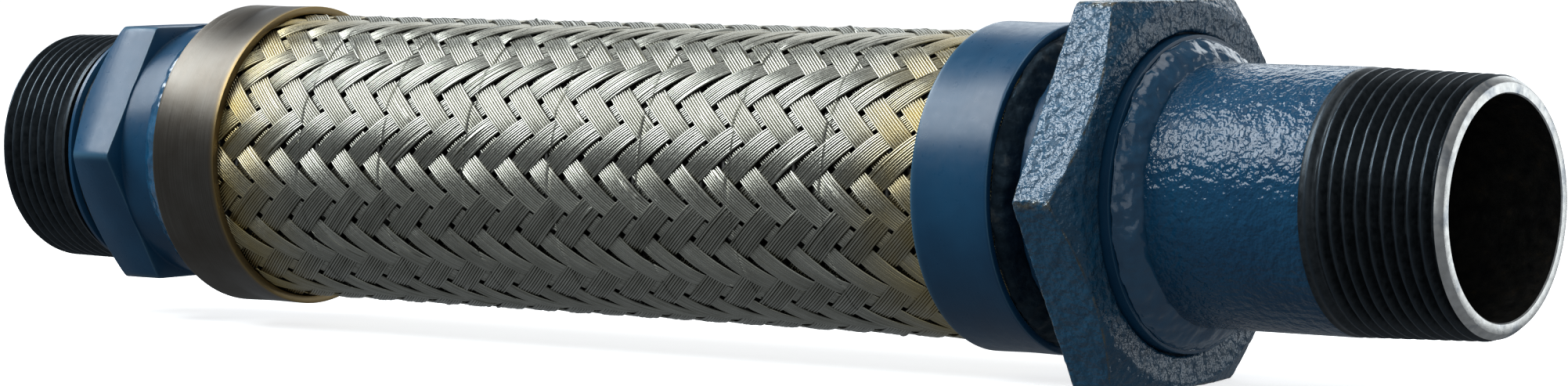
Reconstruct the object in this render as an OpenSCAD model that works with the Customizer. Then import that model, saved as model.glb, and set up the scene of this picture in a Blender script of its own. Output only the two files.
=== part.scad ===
// Braided metal hose connector: a hex pipe nipple at the inlet, a short braided bellows hose,
// and a union with a welded pipe nipple at the outlet.
// The centre line is the X axis. The origin is the centre of the inlet end face,
// +X points at the outlet and +Z is up.

/* [Overall] */
// Length from the inlet end face to the outlet end face
overall_len = 304.8; // [295:0.1:400]

/* [Pipe] */
// Outside diameter of the pipe, for a nominal size of 1-1/4 inch
pipe_d = 42.16; // [42:0.01:42.4]
// Flow bore of both nipples
pipe_bore_d = 35.05; // [32:0.01:36]
// Diameter over the crests of the inlet thread
inlet_thread_d = 41.6; // [41.5:0.01:41.6]
// Diameter over the crests of the outlet thread, whose taper is cut a little deeper
outlet_thread_d = 41; // [40.8:0.01:41]
// Pitch of the pipe thread, 11.5 turns to the inch
thread_pitch = 2.209; // [2:0.001:2.4]
// Depth of the pipe thread
thread_depth = 1.5; // [1:0.1:1.7]
// Length of the inlet thread
inlet_thread_len = 17; // [15:0.1:18]
// Length of the outlet thread
outlet_thread_len = 24.5; // [18:0.1:30]

/* [Inlet fitting] */
// Distance across the flats of the inlet hex
inlet_hex_af = 46; // [45.6:0.1:50]
// Position of the face of the inlet hex that looks at the thread
inlet_hex_x = 22.4; // [22:0.1:24]
// Thickness of the inlet hex
inlet_hex_len = 10.9; // [8:0.1:14]
// Diameter of the round neck behind each collar
neck_d = 45.3; // [44:0.1:45.5]
// Length of the inlet neck
inlet_neck_len = 11.9; // [9:0.1:14]

/* [Hose] */
// Outside diameter of the wire braid
braid_d = 51; // [50.6:0.1:51.2]
// Thickness of the woven braid
braid_wall = 1.3; // [1:0.1:1.5]
// Outside diameter of the bellows inside the braid
bellows_d = 48; // [44:0.1:48.2]
// Smallest bore of the bellows
bellows_bore_d = 34.6; // [32:0.1:35]
// Length of hose between the two collars
free_len = 152.2; // [140:0.1:160]
// Length of each collar
collar_len = 14.8; // [13:0.1:18]
// Outside diameter of each collar
collar_d = 53.9; // [53.8:0.1:56]

/* [Union] */
// Distance across the flats of the union nut
nut_af = 62; // [60:0.1:66]
// Thickness of the union nut
nut_len = 10.1; // [9.9:0.1:10.6]
// Gap between the outlet collar and the back of the nut
nut_gap = 10.6; // [10.4:0.1:11.4]
// Diameter of the thread inside the nut
union_thread_d = 55.6; // [55:0.1:56]
// Thickness of the lip that pulls the tail piece in
nut_lip_len = 2.4; // [2:0.1:2.6]
// Diameter of the hub of the tail piece, where it passes through the nut
tail_hub_d = 50.8; // [50:0.1:51]
// Thickness of the flange on the tail piece
tail_flange_len = 1.8; // [1.4:0.1:2]
// Thickness of the flat gasket
gasket_len = 1.2; // [1:0.1:1.4]

/* [Hidden] */

$fn = 96;
eps = 0.01;
// How far a cutting tool runs past the solid that it cuts
over = 1;

pipe_r = pipe_d / 2;
inlet_thread_r = inlet_thread_d / 2;
outlet_thread_r = outlet_thread_d / 2;
pipe_bore_r = pipe_bore_d / 2;
neck_r = neck_d / 2;
collar_r = collar_d / 2;
braid_r = braid_d / 2;
braid_bore_r = braid_r - braid_wall;
bellows_r = bellows_d / 2;
bellows_bore_r = bellows_bore_d / 2;

// Stations along the centre line, from the inlet to the outlet
inlet_hex_end = inlet_hex_x + inlet_hex_len;
inlet_collar_x = inlet_hex_end + inlet_neck_len;
free_start = inlet_collar_x + collar_len;
free_end = free_start + free_len;
outlet_collar_end = free_end + collar_len;
nut_x = outlet_collar_end + nut_gap;
nut_end = nut_x + nut_len;
lip_x = nut_end - nut_lip_len;

// Pipe threads: round ridges with a flat crest and a narrow root
crest_share = 0.25;
thread_crest = crest_share * thread_pitch;
thread_flank = (thread_pitch - 2 * thread_crest) / 2;
end_chamfer = 1.3;

// Inlet nipple: a relief and a thin ring between the thread and the hex
relief_x = inlet_thread_len + 0.3;
relief_r = 19.5;
ring_x = 18.6;
ring_len = 1.4;
ring_r = 21.9;
hex_groove_r = 21.3;
hex_chamfer_angle = 30;
inlet_face_r = 22.5;

// Weld beads against the collars. The toe is the height of a bead's edge over the pipe.
weld_toe = 0.05;
weld_rise = 0.9;
inlet_weld_len = 6.2;
inlet_weld_r = 25.8;
outlet_weld_len = 3.6;
outlet_weld_r = 26;
collar_play = 0.05;

// The bending stretch is cut into rigid sections at ball-shaped faces.
// Each face is centred on its own pivot, so a section turns there without touching the next one.
sections = 8;
section_len = free_len / sections;
ball_r = braid_r + 1.5;
ball_gap = 0.35;
past_ball_r = collar_r + 5;
function pivot_x(k) = free_start + (k - 0.5) * section_len;

// Union: the threaded half, the gasket and the tail piece stand face to face inside the nut
union_play = 0.3;
flange_play = 0.05;
face_play = 0.05;
union_slope_len = 1;
union_edge = 0.6;
tail_face_x = lip_x - flange_play - tail_flange_len;
gasket_x = tail_face_x - face_play - gasket_len;
union_face_x = gasket_x - face_play;
union_thread_lead = 1.9;
union_thread_x = nut_x - union_thread_lead;
union_thread_r = union_thread_d / 2;
nut_bore_r = union_thread_r + union_play;
tail_hub_r = tail_hub_d / 2;
lip_bore_r = tail_hub_r + union_play;
hub_reach = 1.3;
tail_hub_end = nut_end + hub_reach;
socket_depth = 2.4;
spigot_r = pipe_r - 1.1;
socket_r = spigot_r + 0.02;
tail_weld_len = 4;
tail_weld_step = 0.2;
gasket_bore_r = 18.4;
gasket_r = 26.6;
nut_corner_r = nut_af / 2 / cos(30) + over;
nut_face_r = 30.4;
nut_chamfer_angle = 22.5;
nut_front_drop = (nut_corner_r - nut_face_r) * tan(nut_chamfer_angle);
nut_back_r = nut_corner_r - 1.8;
nut_back_chamfer = 0.4;

// A body turned about the centre line, from [station, radius] points
module turned(points) {
    rotate([0, 90, 0])
        rotate_extrude()
            polygon([for (p = points) [p[1], p[0]]]);
}

module tube(x0, x1, inner_r, outer_r) {
    turned([[x0, inner_r], [x0, outer_r], [x1, outer_r], [x1, inner_r]]);
}

// A hex bar along the centre line with flats at the top and the bottom
module hex_bar(x0, x1, af) {
    translate([x0, 0, 0])
        rotate([0, 90, 0])
            rotate([0, 0, 30])
                cylinder(h = x1 - x0, r = af / 2 / cos(30), $fn = 6);
}

// Outline of a pipe thread from its plain end at 0, one crest and one root for each turn
function thread_outline(len, crest_r) =
    let (turns = floor((len - end_chamfer) / thread_pitch), root_r = crest_r - thread_depth)
    [for (i = [0 : turns - 1])
        let (x = end_chamfer + i * thread_pitch)
        for (p = [[x, crest_r], [x + thread_crest, crest_r],
                  [x + thread_crest + thread_flank, root_r],
                  [x + 2 * thread_crest + thread_flank, root_r]]) p];

// Convex weld bead between a low radius and a high one
function bead(x0, r0, x1, r1, bulge, steps = 8) =
    [for (i = [0 : steps])
        let (s = i / steps, swell = bulge * sin(180 * s))
        [x0 + (x1 - x0) * s, r0 + (r1 - r0) * s + swell]];

module inlet_nipple() {
    color("#1b4a86")
    difference() {
        union() {
            turned(concat(
                [[0, 0], [0, inlet_thread_r - end_chamfer]],
                thread_outline(inlet_thread_len, inlet_thread_r),
                [[relief_x, relief_r], [ring_x, relief_r], [ring_x, ring_r], [ring_x + ring_len, ring_r],
                 [ring_x + ring_len, hex_groove_r], [inlet_hex_x, hex_groove_r],
                 [inlet_hex_x, 0]]));
            intersection() {
                hex_bar(inlet_hex_x, inlet_hex_end, inlet_hex_af);
                turned([[inlet_hex_x, 0], [inlet_hex_x, inlet_face_r],
                        [inlet_hex_x + inlet_hex_len * tan(hex_chamfer_angle),
                         inlet_face_r + inlet_hex_len],
                        [inlet_hex_end, inlet_face_r + inlet_hex_len], [inlet_hex_end, 0]]);
            }
            turned([[inlet_hex_end - eps, 0], [inlet_hex_end - eps, neck_r],
                    [inlet_collar_x, neck_r], [inlet_collar_x, 0]]);
        }
        tube(-over, inlet_collar_x + over, 0, pipe_bore_r);
    }
}

module inlet_weld() {
    x0 = inlet_collar_x - inlet_weld_len;
    color("#2a62a8")
    turned(concat(bead(x0, neck_r + weld_toe, inlet_collar_x, inlet_weld_r, weld_rise),
                  [[inlet_collar_x, neck_r], [x0, neck_r]]));
}

module collar(x0, x1, tint) {
    color(tint) tube(x0, x1, braid_r + collar_play, collar_r);
}

// Ball-shaped cut: everything past the pivot that lies outside the ball
module past_ball(x) {
    difference() {
        tube(x, x + 2 * ball_r, 0, past_ball_r);
        translate([x, 0, 0]) sphere(ball_r);
    }
}

// One rigid section of a hose layer, from the ball of the pivot before it to the ball of its own
module hose_section(k, inner_r, outer_r) {
    first = k == 0;
    last = k == sections;
    x0 = first ? inlet_collar_x : pivot_x(k);
    x1 = last ? outlet_collar_end : pivot_x(k + 1) + ball_r;
    difference() {
        tube(x0, x1, inner_r, outer_r);
        if (!first) translate([pivot_x(k), 0, 0]) sphere(ball_r + ball_gap);
        if (!last) past_ball(pivot_x(k + 1));
    }
}

module braid(k) {
    color("#a39c8b") hose_section(k, braid_bore_r, braid_r);
}

module bellows(k) {
    color("#8f9296") hose_section(k, bellows_bore_r, bellows_r);
}

module outlet_weld() {
    x1 = outlet_collar_end + outlet_weld_len;
    color("#3c4248")
    turned(concat([[outlet_collar_end, neck_r]],
                  bead(outlet_collar_end, outlet_weld_r, x1, neck_r + weld_toe, weld_rise),
                  [[x1, neck_r]]));
}

// Threaded half of the union, welded to the hose
module union_body() {
    color("#1d3f6e")
    turned([[outlet_collar_end, pipe_bore_r], [outlet_collar_end, neck_r],
            [union_thread_x - union_slope_len, neck_r], [union_thread_x, union_thread_r],
            [union_face_x - union_edge, union_thread_r],
            [union_face_x, union_thread_r - union_edge],
            [union_face_x, pipe_bore_r]]);
}

module union_gasket() {
    color("#d8d2c0") tube(gasket_x, gasket_x + gasket_len, gasket_bore_r, gasket_r);
}

// Tail piece: a flange held by the lip of the nut, and a hub with a socket for the pipe
module union_tail() {
    socket_x = tail_hub_end - socket_depth;
    color("#1c4c8c")
    turned([[tail_face_x, pipe_bore_r], [tail_face_x, union_thread_r],
            [tail_face_x + tail_flange_len, union_thread_r],
            [tail_face_x + tail_flange_len, tail_hub_r], [tail_hub_end, tail_hub_r],
            [tail_hub_end, socket_r], [socket_x, socket_r],
            [socket_x, pipe_bore_r]]);
}

module tail_weld() {
    color("#2f66a6")
    turned(concat([[tail_hub_end, socket_r]],
                  bead(tail_hub_end, tail_hub_r - tail_weld_step, tail_hub_end + tail_weld_len,
                       pipe_r + weld_toe, weld_rise),
                  [[tail_hub_end + tail_weld_len, socket_r]]));
}

module outlet_nipple() {
    x0 = tail_hub_end - socket_depth + eps;
    weld_end = tail_hub_end + tail_weld_len;
    outline = thread_outline(outlet_thread_len, outlet_thread_r);
    last = len(outline) - 1;
    color("#2458a0")
    turned(concat(
        [[x0, pipe_bore_r], [x0, spigot_r], [weld_end, spigot_r], [weld_end, pipe_r],
         [overall_len - outlet_thread_len, pipe_r]],
        [for (i = [last : -1 : 0]) [overall_len - outline[i][0], outline[i][1]]],
        [[overall_len, outlet_thread_r - end_chamfer], [overall_len, pipe_bore_r]]));
}

module union_nut() {
    color("#23579c")
    difference() {
        intersection() {
            hex_bar(nut_x, nut_end, nut_af);
            turned([[nut_x, 0], [nut_x, nut_back_r], [nut_x + nut_back_chamfer, nut_corner_r],
                    [nut_end - nut_front_drop, nut_corner_r], [nut_end, nut_face_r],
                    [nut_end, 0]]);
        }
        tube(nut_x - over, lip_x, 0, nut_bore_r);
        tube(lip_x - over, nut_end + over, 0, lip_bore_r);
    }
}

inlet_nipple();
inlet_weld();
collar(inlet_collar_x, free_start, "#7d7468");  // inlet_collar
collar(free_end, outlet_collar_end, "#24538f");  // outlet_collar
outlet_weld();
union_body();
union_gasket();
union_tail();
tail_weld();
outlet_nipple();
union_nut();
braid(0);  // braid_inlet
braid(sections);  // braid_outlet
bellows(0);  // bellows_inlet
bellows(sections);  // bellows_outlet
for (k = [1 : sections - 1]) braid(k);
for (k = [1 : sections - 1]) bellows(k);
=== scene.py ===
import math

import bpy
import numpy as np
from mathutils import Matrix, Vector, noise


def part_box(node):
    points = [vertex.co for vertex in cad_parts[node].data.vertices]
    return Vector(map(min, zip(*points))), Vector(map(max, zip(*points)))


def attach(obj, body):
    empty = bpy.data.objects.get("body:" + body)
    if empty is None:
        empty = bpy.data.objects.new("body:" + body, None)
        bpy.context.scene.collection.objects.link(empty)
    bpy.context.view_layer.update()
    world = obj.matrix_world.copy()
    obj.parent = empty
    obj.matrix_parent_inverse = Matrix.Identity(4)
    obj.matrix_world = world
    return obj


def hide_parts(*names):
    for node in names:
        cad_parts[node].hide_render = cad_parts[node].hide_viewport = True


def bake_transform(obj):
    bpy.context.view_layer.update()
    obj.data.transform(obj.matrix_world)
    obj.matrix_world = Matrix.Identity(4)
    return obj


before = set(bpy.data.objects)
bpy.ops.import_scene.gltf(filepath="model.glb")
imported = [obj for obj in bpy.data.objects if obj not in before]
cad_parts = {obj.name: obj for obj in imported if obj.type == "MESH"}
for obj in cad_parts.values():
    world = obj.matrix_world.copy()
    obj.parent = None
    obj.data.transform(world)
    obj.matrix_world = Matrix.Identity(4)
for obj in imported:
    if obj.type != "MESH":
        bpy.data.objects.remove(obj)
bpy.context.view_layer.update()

MM = 0.001
AROUND = 360
RNG = np.random.default_rng(12)
ANGLE = np.linspace(0, 2 * math.pi, AROUND, endpoint=False)

# Sizes in millimetres, as on the CAD part. x is the station from the inlet face, r a radius.
BORE_R = 17.525
PIPE_R = 21.08
NECK_R = 22.65
PITCH = 2.209
BRAID_R = 25.5
BELLOWS_R = 24.0
SECTIONS = 8


def span(node):
    """First and last station of a CAD node along the centre line, in millimetres."""
    low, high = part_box(node)
    return low.x / MM, high.x / MM


def outer_r(node):
    """Largest radius of a round CAD node, in millimetres."""
    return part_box(node)[1].y / MM


OVERALL = span("outlet_nipple")[1]
COLLAR_IN = span("inlet_collar")
COLLAR_OUT = span("outlet_collar")
NUT = span("union_nut")
FREE = (COLLAR_IN[1], COLLAR_OUT[0])
SECTION = (FREE[1] - FREE[0]) / SECTIONS


# ---------------------------------------------------------------- materials

# Where the colour sockets stand on a mix node.
COLOUR_INPUTS = (6, 7)
COLOUR_OUTPUT = 2


class Surface:
    """One procedural material: a Principled shader and short calls that add nodes to it."""

    def __init__(self, name, **values):
        self.mat = bpy.data.materials.new(name)
        self.mat.use_nodes = True
        self.tree = self.mat.node_tree
        self.shader = next(n for n in self.tree.nodes if n.type == "BSDF_PRINCIPLED")
        self.coords = self.tree.nodes.new("ShaderNodeTexCoord").outputs["Object"]
        for key, value in values.items():
            self.shader.inputs[key.replace("_", " ")].default_value = value

    def node(self, kind, **settings):
        n = self.tree.nodes.new(kind)
        for key, value in settings.items():
            setattr(n, key, value)
        return n

    def link(self, a, b):
        self.tree.links.new(a, b)

    def stretched(self, scale):
        """Coordinates squeezed along an axis, for grain that runs one way."""
        n = self.node("ShaderNodeMapping")
        n.inputs["Scale"].default_value = scale
        self.link(self.coords, n.inputs["Vector"])
        return n.outputs["Vector"]

    def noise(self, scale, detail=4, rough=0.55, coords=None):
        n = self.node("ShaderNodeTexNoise")
        n.inputs["Scale"].default_value = scale
        n.inputs["Detail"].default_value = detail
        n.inputs["Roughness"].default_value = rough
        self.link(coords or self.coords, n.inputs["Vector"])
        return n.outputs["Fac"]

    def cells(self, scale):
        n = self.node("ShaderNodeTexVoronoi")
        n.inputs["Scale"].default_value = scale
        self.link(self.coords, n.inputs["Vector"])
        return n.outputs["Distance"]

    def attribute(self, name):
        return self.node("ShaderNodeAttribute", attribute_name=name).outputs["Fac"]

    def ramp(self, fac, *stops):
        n = self.node("ShaderNodeValToRGB")
        ramp = n.color_ramp
        while len(ramp.elements) < len(stops):
            ramp.elements.new(0.5)
        for e, (at, colour) in zip(ramp.elements, stops):
            e.position = at
            e.color = (*colour, 1) if len(colour) == 3 else colour
        self.link(fac, n.inputs["Fac"])
        return n.outputs["Color"]

    def level(self, fac, low, high, at_low, at_high):
        """fac mapped from low..high to at_low..at_high, and held outside it."""
        n = self.node("ShaderNodeMapRange")
        for key, value in zip(("From Min", "From Max", "To Min", "To Max"), (low, high, at_low, at_high)):
            n.inputs[key].default_value = value
        self.link(fac, n.inputs["Value"])
        return n.outputs["Result"]

    def math(self, how, a, b):
        n = self.node("ShaderNodeMath", operation=how)
        for socket, value in zip(n.inputs, (a, b)):
            if isinstance(value, (int, float)):
                socket.default_value = value
            else:
                self.link(value, socket)
        return n.outputs["Value"]

    def mix(self, fac, a, b):
        """Colour a where fac is 0, colour b where it is 1."""
        n = self.node("ShaderNodeMix", data_type="RGBA")
        self.link(fac, n.inputs["Factor"])
        for index, value in zip(COLOUR_INPUTS, (a, b)):
            if isinstance(value, tuple):
                n.inputs[index].default_value = (*value, 1)
            else:
                self.link(value, n.inputs[index])
        return n.outputs[COLOUR_OUTPUT]

    def colour(self, socket):
        self.link(socket, self.shader.inputs["Base Color"])

    def set(self, key, socket):
        self.link(socket, self.shader.inputs[key])

    def bump(self, *layers):
        """Each layer is (height, distance in mm, strength)."""
        normal = None
        for height, distance, strength in layers:
            n = self.node("ShaderNodeBump")
            n.inputs["Distance"].default_value = distance * MM
            n.inputs["Strength"].default_value = strength
            self.link(height, n.inputs["Height"])
            if normal:
                self.link(normal, n.inputs["Normal"])
            normal = n.outputs["Normal"]
        self.link(normal, self.shader.inputs["Normal"])
        return self.mat


def blue_paint():
    """Satin paint over turned steel: lathe lines show through, the colour is slightly mottled."""
    s = Surface("blue_paint", Coat_Weight=0.05, Coat_Roughness=0.16, Specular_IOR_Level=0.33)
    lines = s.noise(1.0, 3, 0.6, s.stretched((2600, 18, 18)))
    cloud = s.noise(90, 5)
    base = s.ramp(cloud, (0.3, (0.006, 0.046, 0.104)), (0.7, (0.009, 0.066, 0.140)))
    s.colour(s.mix(s.attribute("wear"), base, (0.045, 0.12, 0.19)))
    s.set("Roughness", s.level(s.noise(700, 4), 0.3, 0.7, 0.26, 0.36))
    return s.bump((lines, 0.04, 0.45), (s.noise(700, 3), 0.03, 0.4))


def pipe_paint():
    """Gloss paint with an orange-peel skin on drawn pipe."""
    s = Surface("pipe_paint", Coat_Weight=0.05, Coat_Roughness=0.08, Specular_IOR_Level=0.35)
    base = s.ramp(s.noise(120, 5), (0.3, (0.006, 0.048, 0.108)), (0.7, (0.009, 0.070, 0.145)))
    s.colour(base)
    s.set("Roughness", s.level(s.noise(500, 3), 0.3, 0.7, 0.09, 0.18))
    return s.bump((s.noise(640, 2), 0.55, 1.0), (s.noise(1700, 2), 0.08, 0.8))


def cast_paint():
    """Paint over cast iron: coarse sand skin, specks, and metal showing where edges are rubbed."""
    s = Surface("cast_paint", Coat_Weight=0.1, Coat_Roughness=0.08, Specular_IOR_Level=0.5)
    base = s.ramp(s.noise(160, 6), (0.3, (0.008, 0.062, 0.125)), (0.72, (0.014, 0.095, 0.180)))
    chips = s.noise(420, 6, 0.7)
    worn = s.math("MULTIPLY", s.attribute("wear"), s.level(chips, 0.42, 0.60, 0.0, 1.0))
    metal = s.ramp(s.noise(800, 3), (0.35, (0.10, 0.11, 0.11)), (0.65, (0.24, 0.20, 0.12)))
    s.colour(s.mix(worn, base, metal))
    s.set("Metallic", s.level(worn, 0.2, 0.8, 0.0, 0.75))
    s.set("Roughness", s.level(s.noise(600, 4), 0.3, 0.7, 0.10, 0.26))
    sand, specks, dust = s.noise(520, 3, 0.5), s.cells(900), s.noise(2600, 2)
    return s.bump((sand, 1.1, 1.0), (specks, 0.25, 0.7), (dust, 0.05, 0.6))


def weld_paint():
    """Gloss paint pooled over a weld bead."""
    s = Surface("weld_paint", Coat_Weight=0.6, Coat_Roughness=0.05, Specular_IOR_Level=0.6)
    base = s.ramp(s.noise(260, 5), (0.3, (0.008, 0.062, 0.135)), (0.7, (0.014, 0.100, 0.200)))
    s.colour(base)
    s.set("Roughness", s.level(s.noise(500, 4), 0.3, 0.7, 0.12, 0.26))
    return s.bump((s.noise(240, 2, 0.5), 1.1, 0.9), (s.noise(900, 2), 0.12, 0.6))


def bare_weld():
    """Weld metal coloured near black, with grey ridges here and there."""
    s = Surface("bare_weld", Metallic=0.85)
    s.colour(s.ramp(s.noise(260, 6, 0.65), (0.4, (0.008, 0.018, 0.028)),
                    (0.6, (0.020, 0.036, 0.050)), (0.8, (0.11, 0.12, 0.12))))
    s.set("Roughness", s.level(s.noise(700, 4), 0.3, 0.7, 0.32, 0.60))
    return s.bump((s.noise(600, 5, 0.6), 0.30, 0.7))


def collar_steel():
    """Stainless collar brushed around its circumference and browned by the weld's heat."""
    s = Surface("collar_steel", Metallic=1.0, Anisotropic=0.6)
    hair = s.noise(1.0, 4, 0.7, s.stretched((5200, 30, 30)))
    grey = s.ramp(hair, (0.3, (0.115, 0.103, 0.088)), (0.7, (0.185, 0.172, 0.152)))
    smoke = s.level(s.noise(110, 4), 0.35, 0.7, 0.0, 0.6)
    grey = s.mix(smoke, grey, (0.085, 0.068, 0.050))
    s.colour(s.mix(s.attribute("straw"), grey, (0.34, 0.24, 0.10)))
    s.set("Roughness", s.level(hair, 0.3, 0.7, 0.36, 0.52))
    return s.bump((hair, 0.03, 0.5), (s.noise(800, 3), 0.02, 0.3))


def braid_wire():
    """Drawn stainless wire: faint lengthwise streaks, painted shade between the wires and under the
    strands with a random tone per wire, straw tint where it was hot.
    """
    s = Surface("braid_wire", Metallic=1.0)
    streak = s.noise(260, 3, 0.5)
    grey = s.ramp(streak, (0.3, (0.46, 0.455, 0.395)), (0.7, (0.60, 0.595, 0.525)))
    # painted shade: darkens the joins between wires and the strands' undersides, and gives each wire a
    # random darker tone
    grey = s.mix(s.attribute("wire_shade_and_tone"), grey, (0.13, 0.125, 0.095))
    patch = s.level(s.noise(170, 3), 0.3, 0.6, 0.45, 1.0)
    s.colour(s.mix(s.math("MULTIPLY", s.attribute("straw"), patch), grey, (0.44, 0.35, 0.155)))
    s.set("Roughness", s.level(s.noise(1800, 3), 0.3, 0.7, 0.24, 0.36))
    return s.bump((s.noise(3500, 3), 0.02, 0.35))


def bellows_steel():
    """Thin formed strip, dull with drawing lubricant in the folds."""
    s = Surface("bellows_steel", Metallic=1.0)
    s.colour(s.ramp(s.noise(240, 4), (0.3, (0.16, 0.155, 0.14)), (0.7, (0.30, 0.295, 0.28))))
    s.set("Roughness", s.level(s.noise(900, 3), 0.3, 0.7, 0.32, 0.5))
    return s.bump((s.noise(1200, 3), 0.04, 0.4))


def dark_thread():
    """Cut thread with oil-blackened flanks and slightly paler crests."""
    s = Surface("dark_thread", Metallic=0.75)
    grain = s.noise(900, 5, 0.6)
    dark = s.ramp(grain, (0.3, (0.020, 0.026, 0.030)), (0.7, (0.052, 0.062, 0.070)))
    s.colour(s.mix(s.attribute("crest"), dark, (0.035, 0.048, 0.060)))
    s.set("Roughness", s.level(grain, 0.3, 0.7, 0.30, 0.5))
    tool_marks = s.noise(1.0, 3, 0.6, s.stretched((3800, 60, 60)))
    return s.bump((tool_marks, 0.03, 0.5), (s.noise(1500, 4), 0.05, 0.4))


def bare_face():
    """Machined end face: fine rings left by the cutting tool."""
    s = Surface("bare_face", Metallic=1.0)
    smear = s.level(s.noise(180, 4, 0.6), 0.52, 0.66, 0.0, 0.55)
    steel = s.ramp(s.noise(700, 4), (0.3, (0.66, 0.65, 0.62)), (0.7, (0.86, 0.85, 0.82)))
    s.colour(s.mix(smear, steel, (0.05, 0.11, 0.20)))
    s.set("Roughness", s.level(s.noise(900, 4), 0.3, 0.7, 0.25, 0.42))
    return s.bump((s.noise(2400, 3), 0.03, 0.5))


def dark_bore():
    """Inside of the pipe: mill scale with a thin film of rust."""
    s = Surface("dark_bore", Metallic=0.6)
    s.colour(s.ramp(s.noise(420, 6, 0.65), (0.35, (0.016, 0.018, 0.019)),
                    (0.6, (0.045, 0.042, 0.036)), (0.8, (0.11, 0.075, 0.04))))
    s.set("Roughness", s.level(s.noise(600, 4), 0.3, 0.7, 0.35, 0.6))
    return s.bump((s.noise(700, 5), 0.2, 0.6))


def gasket_fibre():
    """Pressed fibre with short pale and dark flecks."""
    s = Surface("gasket_fibre")
    s.colour(s.ramp(s.noise(900, 6, 0.7), (0.35, (0.42, 0.38, 0.29)), (0.65, (0.66, 0.62, 0.52))))
    s.set("Roughness", s.level(s.noise(1500, 4), 0.3, 0.7, 0.75, 0.95))
    return s.bump((s.noise(2200, 4), 0.06, 0.6))


MAKERS = (blue_paint, pipe_paint, cast_paint, weld_paint, bare_weld, collar_steel, braid_wire,
          bellows_steel, dark_thread, bare_face, dark_bore, gasket_fibre)
MATS = {maker.__name__: maker() for maker in MAKERS}


# ---------------------------------------------------------------- meshes


def make_piece(name, points, faces, materials, indices=None, sharp=35, marks=()):
    """A mesh piece from points in millimetres. marks are (name, one value per point)."""
    mesh = bpy.data.meshes.new(name)
    mesh.from_pydata((points * MM).tolist(), [], faces)
    for m in materials:
        mesh.materials.append(MATS[m])
    if indices is not None:
        mesh.polygons.foreach_set("material_index", indices)
    for label, values in marks:
        attribute = mesh.attributes.new(label, "FLOAT", "POINT")
        attribute.data.foreach_set("value", np.asarray(values, np.float32))
    mesh.shade_smooth()
    mesh.set_sharp_from_angle(angle=math.radians(sharp))
    mesh.update()
    obj = bpy.data.objects.new(name, mesh)
    bpy.context.scene.collection.objects.link(obj)
    return obj


class Outline:
    """A closed outline of (x, r) rows that is swept around the centre line. A row is a pair of
    numbers or of arrays over ANGLE, and each stretch between two rows has a material."""

    def __init__(self):
        self.rows = []
        self.mats = []
        self.marks = []

    def add(self, x, r, mat=None, mark=0.0):
        self.rows.append((np.broadcast_to(x, ANGLE.shape).astype(float),
                          np.broadcast_to(r, ANGLE.shape).astype(float)))
        self.mats.append(mat or self.mats[-1])
        self.marks.append(np.broadcast_to(mark, ANGLE.shape).astype(float))
        return self

    def rounded(self, size):
        """The same outline with each sharp corner rounded by a short three-point arc."""
        straight, square, pull = -0.9, -0.75, 0.22
        out = Outline()
        n = len(self.rows)
        for i in range(n):
            here = np.array(self.rows[i])
            sides = [np.array(self.rows[(i + step) % n]) - here for step in (-1, 1)]
            lengths = [np.maximum(np.hypot(*s), 1e-9) for s in sides]
            turn = (sides[0] * sides[1]).sum(0) / (lengths[0] * lengths[1])
            if turn.mean() < straight:
                out.add(*here, self.mats[i], self.marks[i])
                continue
            before, after = (s / l * np.minimum(size, 0.4 * l) for s, l in zip(sides, lengths))
            edge = 1.0 if turn.mean() > square else 0.4
            marks = np.maximum(self.marks[i], 0)
            out.add(*(here + before), self.mats[i - 1], marks)
            out.add(*(here + pull * (before + after)), self.mats[i], np.maximum(marks, edge))
            out.add(*(here + after), self.mats[i], marks)
        return out

    def fine(self, step):
        """The same outline with rows no further than step apart."""
        out = Outline()
        n = len(self.rows)
        for i in range(n):
            a, b = np.array(self.rows[i]), np.array(self.rows[(i + 1) % n])
            parts = max(1, int(np.ceil(np.hypot(*(b - a)).mean() / step)))
            ma, mb = self.marks[i], self.marks[(i + 1) % n]
            for k in range(parts):
                s = k / parts
                out.add(*(a + (b - a) * s), self.mats[i], ma + (mb - ma) * s)
        return out

    def build(self, name, mark="wear", sharp=35):
        """Sweeps the outline into a mesh piece that carries one mark."""
        x = np.array([row[0] for row in self.rows])
        r = np.array([row[1] for row in self.rows])
        points = np.stack([x, r * np.cos(ANGLE), r * np.sin(ANGLE)], -1).reshape(-1, 3)
        n = len(self.rows)
        ring, j = np.arange(n)[:, None], np.arange(AROUND)[None, :]
        a, b = ring * AROUND, (ring + 1) % n * AROUND
        k = (j + 1) % AROUND
        faces = np.stack([a + j, a + k, b + k, b + j], -1).reshape(-1, 4)
        used = sorted(set(self.mats))
        indices = np.repeat([used.index(m) for m in self.mats], AROUND)
        marks = [(mark, np.array(self.marks).ravel())]
        return make_piece(name, points, faces.tolist(), used, indices, sharp, marks)


def roughen(obj, depth, size, seed, octaves=4):
    """Sinks the surface by up to depth millimetres of fractal noise with grains of that size."""
    mesh = obj.data
    normals = [v.normal.copy() for v in mesh.vertices]
    shift = Vector((seed, 2 * seed, 3 * seed))
    for v, normal in zip(mesh.vertices, normals):
        h = noise.fractal(v.co / (size * MM) + shift, 0.9, 2.0, octaves)
        v.co -= normal * depth * MM * min(1.0, max(0.0, 0.5 + 0.5 * h))
    mesh.update()


def place(obj, body, slot, *nodes):
    """Fixes a piece to its body, and hides the CAD nodes it stands for."""
    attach(obj, body)
    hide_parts(*nodes)


def hex_radius(flats, roundness):
    """Radius of a hexagon with flats at the top and the bottom, its corners eased."""
    normals = np.radians(90 + 60 * np.arange(6))
    facing = np.clip(np.cos(ANGLE[:, None] - normals[None, :]), 0, None)
    return flats / 2 / (facing ** roundness).sum(1) ** (1 / roundness)


def corner_mark(radius, flats):
    """1 at the corners of a hexagon and 0 on its flats."""
    rise = radius - flats / 2
    return np.clip((rise / rise.max() - 0.9) / 0.1, 0, 1)


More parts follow.
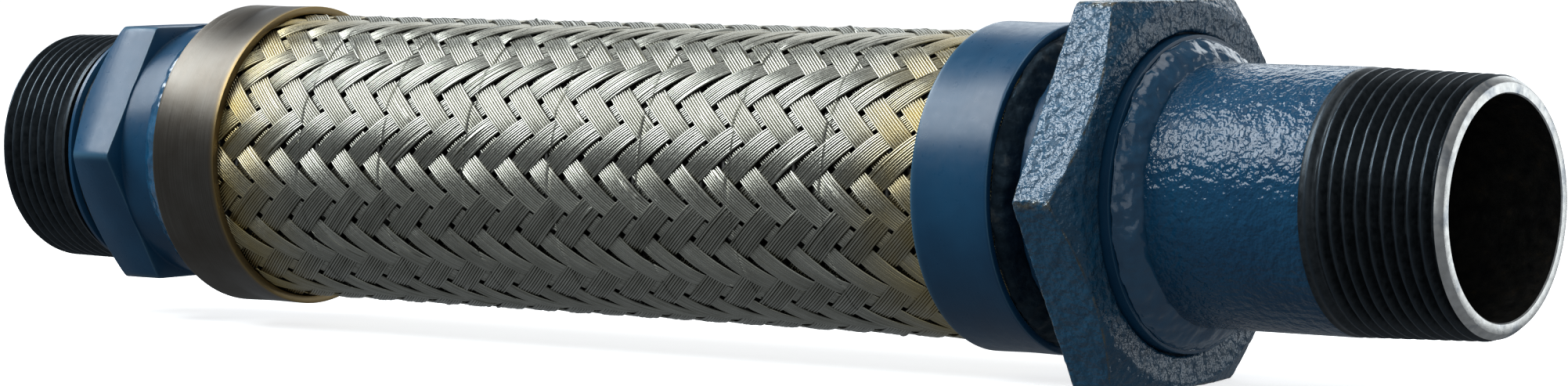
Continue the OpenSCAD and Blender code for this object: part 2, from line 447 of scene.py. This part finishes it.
def helix_height(x):
    """Height of the thread form at station x, from 0 at the root to 1 at the crest."""
    root_flat, flank = 0.12, 0.74
    turn = (x / PITCH - ANGLE / (2 * math.pi)) % 1.0
    return np.clip((np.abs(2 * turn - 1) - root_flat) / flank, 0, 1)


def crest_mark(height, flank_share=0.82):
    """0 on the flanks of a thread and up to 1 at its crest."""
    return np.clip((height - flank_share) / (1 - flank_share), 0, 1)


def add_thread(outline, x0, x1, plain_end, crest_end, crest_back, depth, runout, lead_drop):
    """Helical thread rows from x0 to x1. plain_end is the station of the open end, crest_end and
    crest_back are the crest radii at the two ends, and the thread runs out over its last part."""
    rows_per_turn, least_cut = 18, 0.02
    steps = int((x1 - x0) / PITCH * rows_per_turn)
    for i in range(steps + 1):
        x = x0 + (x1 - x0) * i / steps
        from_end = abs(x - plain_end)
        share = from_end / abs((x1 if plain_end == x0 else x0) - plain_end)
        crest = crest_end + (crest_back - crest_end) * share
        cut = depth * min(1.0, (1 - share) * abs(x1 - x0) / runout + least_cut)
        height = helix_height(x)
        r = crest - cut * (1 - height)
        lead = crest_end - lead_drop + from_end
        r = np.minimum(r, lead)
        outline.add(x, r, "dark_thread", crest_mark(height))


# ---------------------------------------------------------------- inlet end


def inlet_nipple():
    """Male nipple: thread, thin ring, hex and turned neck in one piece."""
    hex_x, hex_end, hex_flats, corner_easing = 22.4, 33.3, 46, 90
    chamfer_r, chamfer_slope = 22.5, math.tan(math.radians(30))
    end = span("inlet_nipple")[1]
    r_hex = hex_radius(hex_flats, corner_easing)
    corners = corner_mark(r_hex, hex_flats)
    o = Outline()
    o.add(0, BORE_R + 0.5, "bare_face")
    add_thread(o, 0.02, 17.0, 0.02, 20.7, 20.95, 1.45, 3.0, 0.5)
    o.add(17.2, 19.6, "dark_thread").add(18.5, 19.5).add(18.6, 21.4, "blue_paint", 0.4).add(19.0, 21.9)
    o.add(19.7, 21.9).add(20.0, 21.4).add(20.1, 21.0, "dark_thread").add(22.3, 21.0)
    o.add(hex_x, chamfer_r, "blue_paint", 0.3)
    chamfer_end = hex_x + (r_hex - chamfer_r) * chamfer_slope
    worn = 0.9 * corners
    o.add(chamfer_end - 0.25, r_hex - 0.35, None, 0.5).add(chamfer_end + 0.25, r_hex - 0.02, None, worn)
    o.add(0.5 * (hex_x + hex_end) + 0.8, r_hex, None, worn).add(hex_end - 0.5, r_hex, None, worn)
    o.add(hex_end - 0.12, r_hex - 0.12, None, 0.9).add(hex_end, r_hex - 0.5, None, 0.3)
    o.add(hex_end, NECK_R + 0.5).add(hex_end + 0.15, NECK_R + 0.15).add(hex_end + 0.5, NECK_R)
    o.add(end, NECK_R).add(end, BORE_R, "dark_bore").add(0.6, BORE_R).add(0.3, BORE_R + 0.12, "bare_face")
    obj = o.build("inlet_nipple_turned", "wear")
    copy_mark(obj, "wear", "crest")
    place(obj, "inlet_end", "blue_paint", "inlet_nipple")


def copy_mark(obj, source, target):
    """Gives the piece a second mark with the values of the first, for another of its materials."""
    values = np.zeros(len(obj.data.vertices), np.float32)
    obj.data.attributes[source].data.foreach_get("value", values)
    obj.data.attributes.new(target, "FLOAT", "POINT").data.foreach_set("value", values)


def weld_ripple(share, count, seed):
    """Height of overlapping weld ripples, from 0 to 1, at a share of the bead's width."""
    bow = 1.8 * (share - 0.5) ** 2
    wobble = 0.35 * np.sin(3 * ANGLE + seed) + 0.25 * np.sin(7 * ANGLE + 2 * seed)
    phase = (ANGLE / (2 * math.pi) * count + bow + wobble) % 1.0
    return np.sin(math.pi * phase) ** 0.7


def bead_piece(name, x0, r0, x1, r1, bulge, inner, count, seed, mat, body, node, ripple=0.28):
    """Fillet weld between two radii, with ripples laid around the joint."""
    o = Outline()
    steps = 16
    edge = 0.35 * np.sin(5 * ANGLE + seed) + 0.2 * np.sin(11 * ANGLE + 3 * seed)
    o.add(x0, inner, mat)
    for i in range(steps + 1):
        s = i / steps
        swell = math.sin(math.pi * s)
        lumps = 0.12 * swell * np.sin(4 * ANGLE + 5 * s + seed)
        r = r0 + (r1 - r0) * s + bulge * swell ** 0.8 + lumps
        r = r - ripple * swell * (1 - weld_ripple(s, count, seed))
        x = x0 + (x1 - x0) * s + 0.4 * swell * edge
        o.add(x, r, mat)
    o.add(x1, inner, mat)
    obj = o.build(name, sharp=60)
    roughen(obj, 0.5, 3.2, seed)
    place(obj, body, mat, node)
    return obj


def collar_piece(name, node, mat, body, heat_side):
    """Crimp ring over the end of the braid, with a rolled rim and a slight crimp waist."""
    waist_depth, tint_width = 0.10, 0.9
    x0, x1 = span(node)
    bore, outer = BRAID_R + 0.05, outer_r(node)
    o = Outline()
    o.add(x0, bore, mat)
    steps = 24
    for i in range(steps + 1):
        s = i / steps
        waist = waist_depth * math.sin(math.pi * s) ** 2
        near_rim = (1 - s if heat_side > 0 else s) * (x1 - x0)
        tint = 0.7 * max(0.0, 1 - near_rim / tint_width)
        o.add(x0 + (x1 - x0) * s, outer - waist, mat, tint)
    o.add(x1, bore, mat, 0.5 if heat_side > 0 else 0.0)
    obj = o.rounded(0.35).build(name, "straw")
    if mat == "blue_paint":
        copy_mark(obj, "straw", "wear")
    place(obj, body, mat, node)
    return obj


# ---------------------------------------------------------------- hose


STRANDS = 24
WIRES = 9
WIRE_D = 0.445
WIRE_TOP, WIRE_JOIN, STRAND_BACK = 0.30 * WIRE_D, -0.20 * WIRE_D, -0.45 * WIRE_D
STRAND_SPACING = 7.5
STRAW_LENGTH = 18.0
TURN_RATE = 2 * math.pi / STRANDS / STRAND_SPACING
WAVE = 0.36
CROWN = 0.12
MEAN_R = BRAID_R - WIRE_TOP - CROWN - WAVE - 0.03
COS_LAY = 1 / math.hypot(1, TURN_RATE * MEAN_R)


def wire_profile():
    """Across one strand: three points on each wire, then the two lower corners.
    Returns offsets across the strand, heights, and how much painted shade a point gets between wires and
    under the strand."""
    across, height, valley_shade = [], [], []
    half = WIRES * WIRE_D / 2
    for w in range(WIRES):
        left = -half + w * WIRE_D
        across += [left, left + 0.28 * WIRE_D, left + 0.72 * WIRE_D]
        height += [WIRE_JOIN, WIRE_TOP, WIRE_TOP]
        # painted shade at the join between two wires
        valley_shade += [0.9, 0.0, 0.0]
    across += [half, half - 0.1, -half + 0.1]
    across, height = np.array(across), np.array(height + [0, 0, 0])
    height = height + CROWN * (1 - (across / half) ** 2)
    height[-3:] = [WIRE_JOIN, STRAND_BACK, STRAND_BACK]
    # full painted shade on the strand's underside
    valley_shade += [1.0, 1.0, 1.0]
    return across, height, np.array(valley_shade)


ACROSS, HEIGHT, VALLEY_SHADE = wire_profile()
WIRE_OF = np.minimum(np.arange(len(ACROSS)) // 3, WIRES - 1)
LIFT = RNG.normal(0, 0.035, (2, STRANDS, WIRES))
SWAY = RNG.uniform(0, 2 * math.pi, (2, STRANDS, 3))
TONE = RNG.uniform(0, 0.35, (2, STRANDS, WIRES))
PULLED = [(RNG.integers(2), RNG.integers(STRANDS), RNG.integers(WIRES), RNG.uniform(*FREE),
           RNG.uniform(0.15, 0.42), RNG.uniform(1.5, 3.5)) for _ in range(140)]


def strand_points(family, i, stations):
    """Points of strand i over those stations: one family climbs and the other falls."""
    hand = 1 if family == 0 else -1
    x = stations[:, None]
    wobble = 0.07 * np.sin(x / 9.0 + SWAY[family, i, 0]) + 0.05 * np.sin(x / 4.1 + SWAY[family, i, 1])
    across = (ACROSS[None, :] + wobble) / COS_LAY / MEAN_R
    step = 2 * math.pi / STRANDS
    angle = i * step + hand * TURN_RATE * x + across
    other = (angle + hand * TURN_RATE * x) / step
    wave = np.cos(math.pi * (i + other - 0.5) / 2)
    wave = np.sign(wave) * np.abs(wave) ** 0.75 * (1 if family == 0 else -1)
    r = MEAN_R + WAVE * wave + HEIGHT[None, :] + LIFT[family, i][WIRE_OF][None, :]
    for f, s, w, at, rise, length in PULLED:
        if f == family and s == i:
            bump = rise * np.exp(-((x - at) / length) ** 2) * (WIRE_OF == w)[None, :]
            r = r + bump * (wave > 0)
    return np.stack([x + 0 * r, r * np.cos(angle), r * np.sin(angle)], -1)


def braid_piece(name, x0, x1, rows):
    """All strands of the braid between two planes, as one mesh."""
    stations = np.linspace(x0, x1, rows + 1)
    count = len(ACROSS)
    ring, j = np.arange(rows)[:, None], np.arange(count)[None, :]
    k = (j + 1) % count
    up = np.stack([ring * count + j, (ring + 1) * count + j, (ring + 1) * count + k, ring * count + k], -1)
    up = up.reshape(-1, 4)[:, ::-1]
    caps = [list(range(count - 1, -1, -1)), list(range(rows * count, (rows + 1) * count))]
    points, faces, wire_shade_and_tone = [], [], []
    for family in (0, 1):
        for i in range(STRANDS):
            base = (family * STRANDS + i) * (rows + 1) * count
            points.append(strand_points(family, i, stations).reshape(-1, 3))
            faces += (up + base).tolist()
            faces += [[v + base for v in cap] for cap in caps]
            # painted shade in the joins and under the strand, with each wire's random tone where that is
            # darker
            valley_shade_and_tone = np.maximum(VALLEY_SHADE, TONE[family, i][WIRE_OF])
            wire_shade_and_tone.append(np.tile(valley_shade_and_tone, rows + 1))
    points = np.concatenate(points)
    from_end = np.minimum(points[:, 0] - FREE[0], FREE[1] - points[:, 0])
    straw = np.clip(1 - from_end / STRAW_LENGTH, 0, 1) ** 1.2
    marks = [("wire_shade_and_tone", np.concatenate(wire_shade_and_tone)), ("straw", straw)]
    return make_piece(name, points, faces, ["braid_wire"], None, 70, marks)


def bellows_piece(name, x0, x1, folds):
    """Thin corrugated tube: an outer wave and, one wall inside it, the same wave."""
    wall, crest, root = 0.4, BELLOWS_R, 18.3
    per_fold = 12
    o = Outline()
    stations = [x0 + (x1 - x0) * i / (folds * per_fold) for i in range(folds * per_fold + 1)]
    wave = [0.5 - 0.5 * math.cos(2 * math.pi * i / per_fold) for i in range(len(stations))]
    shape = [root + (crest - root) * (3 * w * w - 2 * w ** 3) for w in wave]
    for x, r in zip(stations, shape):
        o.add(x, r, "bellows_steel")
    for x, r in zip(reversed(stations), reversed(shape)):
        o.add(x, r - wall, "bellows_steel")
    return o.build(name, sharp=60)


def hose():
    """Braid and bellows in eight sections, with a cuff at each end under its collar."""
    for k in range(1, SECTIONS + 1):
        x0, x1 = FREE[0] + (k - 1) * SECTION, FREE[0] + k * SECTION
        for layer, slot, obj in (
                ("braid", "braid_wire", braid_piece(f"braid_woven_{k}", x0, x1, 25)),
                ("bellows", "bellows_steel", bellows_piece(f"bellows_folds_{k}", x0, x1, 4))):
            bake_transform(obj)
            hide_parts(f"{layer}_{k}" if k < SECTIONS else f"{layer}_outlet")
    for side, x0, x1, body in (("inlet", COLLAR_IN[0], FREE[0], "inlet_end"),
                               ("outlet", FREE[1], COLLAR_OUT[1], "outlet_end")):
        place(braid_piece(f"braid_cuff_{side}", x0, x1, 12), body, "braid_wire", f"braid_{side}")
        place(bellows_piece(f"bellows_cuff_{side}", x0, x1, 3), body, "bellows_steel", f"bellows_{side}")


# ---------------------------------------------------------------- union and outlet end


def union_body():
    """Half of the union on the hose: a neck and a short thread for the nut."""
    x0, x1 = span("union_body")
    thread_x, top = x1 - 6.45, 27.8
    o = Outline()
    o.add(x0, NECK_R, "blue_paint").add(thread_x - 1.3, NECK_R).add(thread_x - 1.0, NECK_R + 0.1)
    o.add(thread_x, top - 0.5)
    add_union_thread(o, thread_x, x1 - 0.3, top)
    o.add(x1, top - 1.2, "bare_face").add(x1, BORE_R, "dark_bore").add(x0, BORE_R, "blue_paint")
    obj = o.build("union_body_turned")
    copy_mark(obj, "wear", "crest")
    place(obj, "outlet_end", "blue_paint", "union_body")


def add_union_thread(outline, x0, x1, top):
    """The short parallel thread that the nut turns on."""
    steps, depth = 40, 1.1
    for i in range(steps + 1):
        x = x0 + (x1 - x0) * i / steps
        height = helix_height(x)
        outline.add(x, top - depth * (1 - height), "dark_thread", crest_mark(height, 0.8))


def union_gasket():
    """Flat ring between the two halves of the union."""
    x0, x1 = span("union_gasket")
    o = Outline().add(x0, 18.4, "gasket_fibre").add(x0, 26.6).add(x1, 26.6).add(x1, 18.4)
    place(o.rounded(0.2).build("union_gasket_ring"), "gasket", "gasket_fibre", "union_gasket")


def union_tail():
    """Flanged hub that the nut pulls on."""
    x0, x1 = span("union_tail")
    flange = x0 + 1.8
    flange_r, hub_r, socket_r, socket_x = 27.8, 25.4, 20.02, x1 - 2.4
    o = Outline().add(x0, BORE_R, "bare_face").add(x0, flange_r, "blue_paint").add(flange, flange_r)
    o.add(flange, hub_r).add(x1, hub_r).add(x1, socket_r, "dark_bore").add(socket_x, socket_r)
    o.add(socket_x, BORE_R)
    place(o.rounded(0.15).build("union_tail_flange"), "tail", "blue_paint", "union_tail")


def outlet_nipple():
    """Pipe nipple: a plain end welded to the hub, and a threaded end."""
    x0, x1 = span("outlet_nipple")
    weld_end, thread_x = span("tail_weld")[1], OVERALL - 24.5
    o = Outline().add(x0, BORE_R, "dark_bore").add(x0, 19.98, "pipe_paint").add(weld_end - 0.8, 19.98)
    o.add(weld_end - 0.8, PIPE_R)
    for i in range(40):
        o.add(weld_end + (thread_x - weld_end) * i / 39, PIPE_R, "pipe_paint")
    add_thread(o, thread_x + 0.2, x1 - 1.3, x1 - 1.3, 20.45, 21.06, 1.5, 5.0, 0.4)
    o.add(x1 - 1.15, 20.15, "bare_face", 0.6).add(x1 - 0.1, 19.35, None, 0.2)
    o.add(x1, 19.15).add(x1, BORE_R + 0.2).add(x1 - 0.2, BORE_R, "dark_bore")
    obj = o.build("outlet_nipple_pipe")
    copy_mark(obj, "wear", "crest")
    place(obj, "tail", "pipe_paint", "outlet_nipple")


def union_nut():
    """Cast hex nut: eased corners, a conical front chamfer and a rough skin."""
    x0, x1 = NUT
    lip_x, bore, lip_bore, face_r = x1 - 2.4, 28.1, 25.7, 30.4
    flats = 2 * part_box("union_nut")[1].z / MM
    r_hex = hex_radius(flats, 110)
    corners = corner_mark(r_hex, flats)
    front = x1 - (r_hex - face_r) * math.tan(math.radians(30))
    o = Outline()
    o.add(x0, bore, "cast_paint").add(x0, r_hex - 0.7).add(x0 + 0.15, r_hex - 0.2, None, 0.8)
    o.add(x0 + 0.5, r_hex, None, corners).add(front - 0.25, r_hex, None, corners)
    o.add(front, r_hex - 0.1, None, 1.0).add(front + 0.2, r_hex - 0.45, None, 0.1)
    o.add(x1 - 0.15, face_r + 0.35).add(x1, face_r - 0.2, None, 0.15)
    o.add(x1, lip_bore + 0.4, None, 0.2).add(x1 - 0.4, lip_bore)
    o.add(lip_x, lip_bore, "dark_thread").add(lip_x, bore)
    obj = o.fine(0.45).build("union_nut_cast", sharp=50)
    copy_mark(obj, "wear", "crest")
    roughen(obj, 0.22, 1.3, 3.1, 5)
    place(obj, "nut", "cast_paint", "union_nut")


# ---------------------------------------------------------------- the object

inlet_nipple()
weld_x0, weld_x1 = span("inlet_weld")
bead_piece("inlet_weld_bead", weld_x0, NECK_R + 0.05, weld_x1, 25.8, 0.9, NECK_R - 0.3, 44, 1.3,
           "weld_paint", "inlet_end", "inlet_weld", 0.12)
collar_piece("inlet_collar_ring", "inlet_collar", "collar_steel", "inlet_end", 1)
hose()
collar_piece("outlet_collar_ring", "outlet_collar", "blue_paint", "outlet_end", -1)
weld_x0, weld_x1 = span("outlet_weld")
bead_piece("outlet_weld_bead", weld_x0, 26.0, weld_x1, NECK_R + 0.05, 0.9, NECK_R - 0.3, 50, 4.2,
           "bare_weld", "outlet_end", "outlet_weld", 0.35)
union_body()
union_gasket()
union_nut()
union_tail()
weld_x0, weld_x1 = span("tail_weld")
bead_piece("tail_weld_bead", weld_x0, 25.0, weld_x1, PIPE_R + 0.1, 0.9, 20.1, 46, 2.4,
           "weld_paint", "tail", "tail_weld", 0.16)
outlet_nipple()


# ---------------------------------------------------------------- floor, light and camera


def pale_floor():
    """A plain white floor at the height of the nut's lowest flat."""
    size = 14.0
    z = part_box("union_nut")[0].z
    corners = [(x, y, z) for x, y in ((-size, -size), (size, -size), (size, size), (-size, size))]
    mesh = bpy.data.meshes.new("floor")
    mesh.from_pydata(corners, [], [(0, 1, 2, 3)])
    mat = bpy.data.materials.new("floor")
    mat.use_nodes = True
    shader = mat.node_tree.nodes["Principled BSDF"]
    shader.inputs["Base Color"].default_value = (0.86, 0.86, 0.86, 1)
    shader.inputs["Roughness"].default_value = 0.9
    shader.inputs["Specular IOR Level"].default_value = 0.1
    shader.inputs["Emission Color"].default_value = (1, 1, 1, 1)
    shader.inputs["Emission Strength"].default_value = 0.74
    mesh.materials.append(mat)
    floor = bpy.data.objects.new("floor", mesh)
    bpy.context.scene.collection.objects.link(floor)
    floor.visible_glossy = False
    floor.visible_diffuse = False


def softbox(name, direction, distance, width, height, watts, target=(0.15, 0, 0)):
    """A cool rectangular lamp that looks at the target from that direction."""
    data = bpy.data.lights.new(name, "AREA")
    data.shape = "RECTANGLE"
    data.size, data.size_y, data.energy = width, height, watts
    lamp = bpy.data.objects.new(name, data)
    bpy.context.scene.collection.objects.link(lamp)
    away = Vector(direction).normalized()
    lamp.location = Vector(target) + away * distance
    lamp.rotation_euler = away.to_track_quat("Z", "Y").to_euler()
    lamp.data.color = (0.90, 0.96, 1.0)
    lamp.visible_camera = False
    return lamp


def studio_light():
    """One large lamp above and behind the far end, weak fills, and a dim room."""
    softbox("key", (-0.60, -0.41, 0.69), 1.3, 1.5, 0.6, 24)
    softbox("fill", (0.7, -0.9, 0.35), 1.6, 1.0, 1.0, 2)
    softbox("back_fill", (-0.35, 0.9, 0.45), 1.6, 1.4, 0.8, 6)
    softbox("back_card", (0.6, 0.8, 0.10), 1.6, 1.3, 1.0, 5)
    sun = bpy.data.objects.new("overhead", bpy.data.lights.new("overhead", "SUN"))
    sun.data.energy = 0.7
    sun.data.angle = math.radians(50)
    bpy.context.scene.collection.objects.link(sun)
    world = bpy.data.worlds.new("studio")
    world.use_nodes = True
    background = world.node_tree.nodes["Background"]
    background.inputs["Color"].default_value = (0.85, 0.92, 1.0, 1)
    background.inputs["Strength"].default_value = 0.18
    bpy.context.scene.world = world


def camera():
    """A long lens at the photograph's angle."""
    data = bpy.data.cameras.new("camera")
    data.lens, data.sensor_width, data.sensor_fit = 116.19, 36, "HORIZONTAL"
    eye = bpy.data.objects.new("camera", data)
    bpy.context.scene.collection.objects.link(eye)
    eye.location = (0.6820, -0.6789, 0.0506)
    eye.rotation_euler = (math.radians(86.41), 0, math.radians(37.20))
    bpy.context.scene.camera = eye


pale_floor()
studio_light()
camera()
bpy.context.scene.view_settings.view_transform = "Standard"
